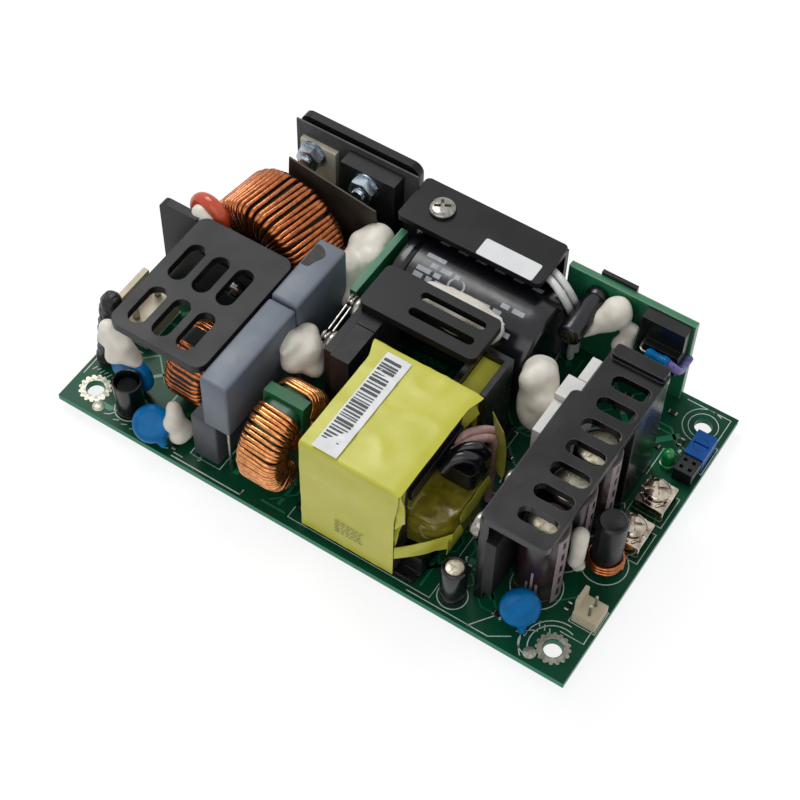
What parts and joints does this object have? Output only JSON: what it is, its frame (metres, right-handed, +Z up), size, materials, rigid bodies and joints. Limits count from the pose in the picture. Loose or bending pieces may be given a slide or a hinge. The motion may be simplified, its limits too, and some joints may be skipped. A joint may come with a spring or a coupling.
{
  "type": "open frame power supply",
  "caption": "Open frame power supply: a green board carrying chokes, a taped transformer, capacitors and slotted black heatsinks, with mounting holes in its corners.",
  "frame": {"origin": "centre of the four mounting holes, on the underside of the board", "axes": "+X along the board from the input end to the output end, +Y towards the rear edge, +Z up through the parts"},
  "size_m": [0.127, 0.0775, 0.0366],
  "materials": {
    "green_board": "satin solder mask",
    "tinned_metal": "tinned",
    "cream_nylon": "satin",
    "black_sleeve": "glossy shrunk sleeve",
    "blue_epoxy": "glossy dip",
    "dark_resistor": "matt",
    "ferrite": "matt",
    "copper_wire": "enamelled copper",
    "black_anodised": "satin black",
    "black_moulding": "matt",
    "orange_epoxy": "glossy dip",
    "grey_case": "satin",
    "green_ferrite": "satin coating",
    "green_divider": "satin",
    "yellow_tape": "glossy polyester tape",
    "amber_tape": "glossy polyester tape",
    "pink_sleeve": "matt",
    "white_sleeve": "satin",
    "grey_sheet": "matt",
    "pale_insulator": "satin",
    "plated_steel": "nickel plated",
    "dark_sheet": "matt",
    "white_moulding": "satin",
    "maroon_sleeve": "glossy shrunk sleeve",
    "blue_moulding": "satin",
    "blue_rotor": "satin",
    "indicator": "clear green dome and black socket",
    "silicone": "satin"
  },
  "bodies": {
    "supply": {"board": "green_board", "board_lands": "tinned_metal", "solder_joints": "tinned_metal", "component_leads": "tinned_metal", "input_connector": "cream_nylon", "connector_pins": "tinned_metal", "sleeved_fuse": "black_sleeve", "varistor": "blue_epoxy", "fusible_resistor": "dark_resistor", "resistor_sleeve": "black_sleeve", "disc_capacitors": "blue_epoxy", "line_choke_core": "ferrite", "line_choke_winding": "copper_wire", "left_heatsink": "black_anodised", "bridge_rectifier": "black_moulding", "orange_disc": "orange_epoxy", "film_capacitor_low": "grey_case", "film_capacitor_raised": "grey_case", "film_capacitor_rear": "grey_case", "pfc_choke_core": "ferrite", "pfc_choke_winding": "copper_wire", "mode_choke_core": "green_ferrite", "mode_choke_winding": "copper_wire", "mode_choke_divider": "green_divider", "transformer_core": "ferrite", "transformer_bobbin": "black_moulding", "transformer_tape": "yellow_tape", "transformer_winding": "amber_tape", "transformer_leads": "pink_sleeve", "centre_bracket": "black_anodised", "centre_transistors": "black_moulding", "small_transformer_bobbin": "black_moulding", "small_transformer_tape": "yellow_tape", "bulk_capacitor": "black_sleeve", "riser_board": "green_board", "angle_heatsink": "black_anodised", "sleeved_wires": "white_sleeve", "rear_heatsink": "black_anodised", "rear_insulator": "grey_sheet", "rear_rectifier_pale": "pale_insulator", "rear_rectifier_black": "black_moulding", "rear_nuts": "plated_steel", "rear_shield": "dark_sheet", "machine_screws": "plated_steel", "daughter_board": "green_board", "daughter_parts": "black_moulding", "lying_capacitor": "black_sleeve", "white_spacers": "white_moulding", "right_heatsink": "black_anodised", "output_rectifiers": "black_moulding", "output_capacitors": "maroon_sleeve", "standing_capacitor": "black_sleeve", "trimmer_body": "blue_moulding", "output_terminals": "plated_steel", "rod_choke_core": "black_sleeve", "rod_choke_winding": "copper_wire", "fan_connector": "cream_nylon", "indicator_and_socket": "indicator", "adhesive": "silicone"},
    "rotor": {"trimmer_rotor": "blue_rotor"}
  },
  "joints": [
    {"name": "trimmer_turn", "type": "hinge", "parent": "supply", "child": "rotor", "pos_m": [0.0605, 0.0248, 0.0055], "axis": [0, 0, 1], "range_deg": [-130, 130]}
  ]
}
